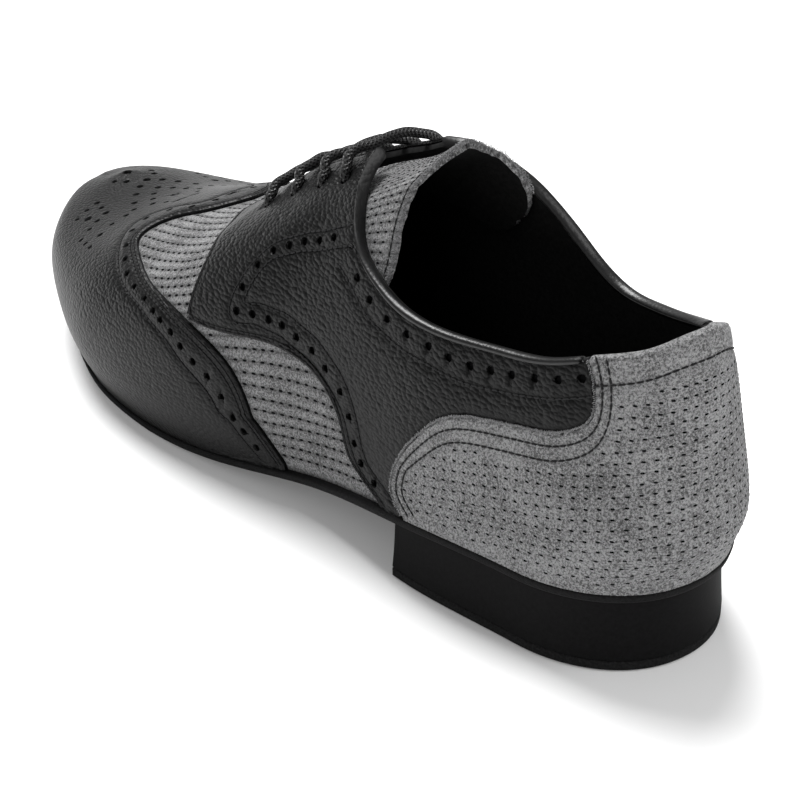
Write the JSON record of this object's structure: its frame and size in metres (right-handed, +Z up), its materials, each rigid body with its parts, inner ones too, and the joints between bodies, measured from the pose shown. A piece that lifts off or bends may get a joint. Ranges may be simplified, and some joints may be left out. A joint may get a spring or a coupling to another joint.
{
  "type": "ballroom dance shoe",
  "caption": "Left ballroom dance shoe: two-tone wing-tip derby with an open collar, suede panels, low heel and thin flexible sole.",
  "frame": {"origin": "on the floor under the middle of the shoe's bounding box", "axes": "toe along -Y, heel along +Y, the wearer's left along +X, +Z up"},
  "size_m": [0.1013, 0.288, 0.1104],
  "materials": {
    "black_leather": "pebbled black leather, low sheen",
    "grey_suede": "matte grey suede, punched and ribbed",
    "black_lining": "soft matte black lining",
    "sole_suede": "dark split suede sole, matte",
    "black_rubber": "matte black heel block",
    "braided_cord": "round braided black lace"
  },
  "bodies": {
    "root": {"upper": "grey_suede", "wing_cap": "black_leather", "quarter_left": "black_leather", "quarter_right": "black_leather", "heel_counter": "grey_suede", "collar_bead_left": "black_leather", "collar_bead_right": "black_leather", "tongue": "grey_suede", "insole": "black_lining", "outsole": "sole_suede", "heel": "black_rubber", "top_piece": "sole_suede", "lace_bar_1": "braided_cord", "lace_bar_2": "braided_cord", "lace_bar_3": "braided_cord", "lace_bar_4": "braided_cord"}
  },
  "joints": []
}
